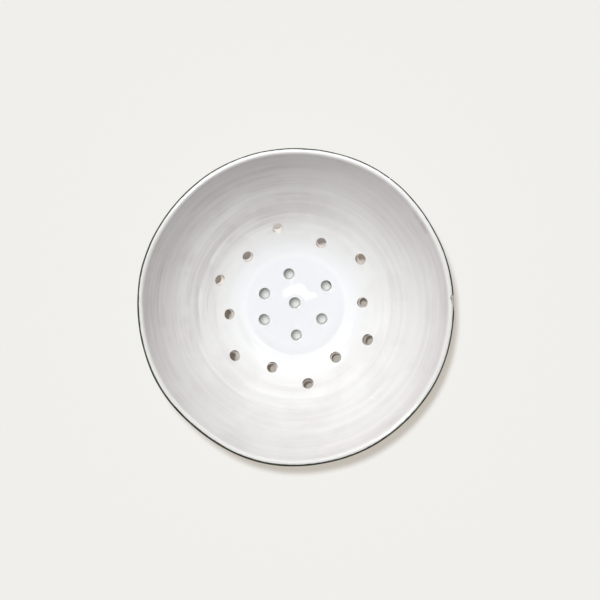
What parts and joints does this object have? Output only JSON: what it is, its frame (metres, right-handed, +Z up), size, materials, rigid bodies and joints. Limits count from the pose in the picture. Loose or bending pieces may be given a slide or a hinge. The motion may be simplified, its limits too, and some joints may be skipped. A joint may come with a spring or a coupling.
{
  "type": "berry colander bowl",
  "caption": "Round hand-thrown ceramic bowl with drain holes through its floor and lower wall, on a foot ring, for rinsing and serving berries.",
  "frame": {"origin": "on the bowl's axis, at the plane of the sole that stands on the table", "axes": "+Z up out of the bowl's mouth; +X to the right and +Y to the top of the picture, which looks straight down into the bowl"},
  "size_m": [0.2, 0.2, 0.08],
  "materials": {
    "clay": "matte, bare fired clay",
    "white_glaze": "gloss",
    "dark_line": "satin oxide"
  },
  "bodies": {
    "root": {"clay_bowl": "clay", "foot_ring": "clay", "inside_glaze": "white_glaze", "outside_glaze": "white_glaze", "drain_hole_glaze": "white_glaze", "rim_line": "dark_line"}
  },
  "joints": []
}
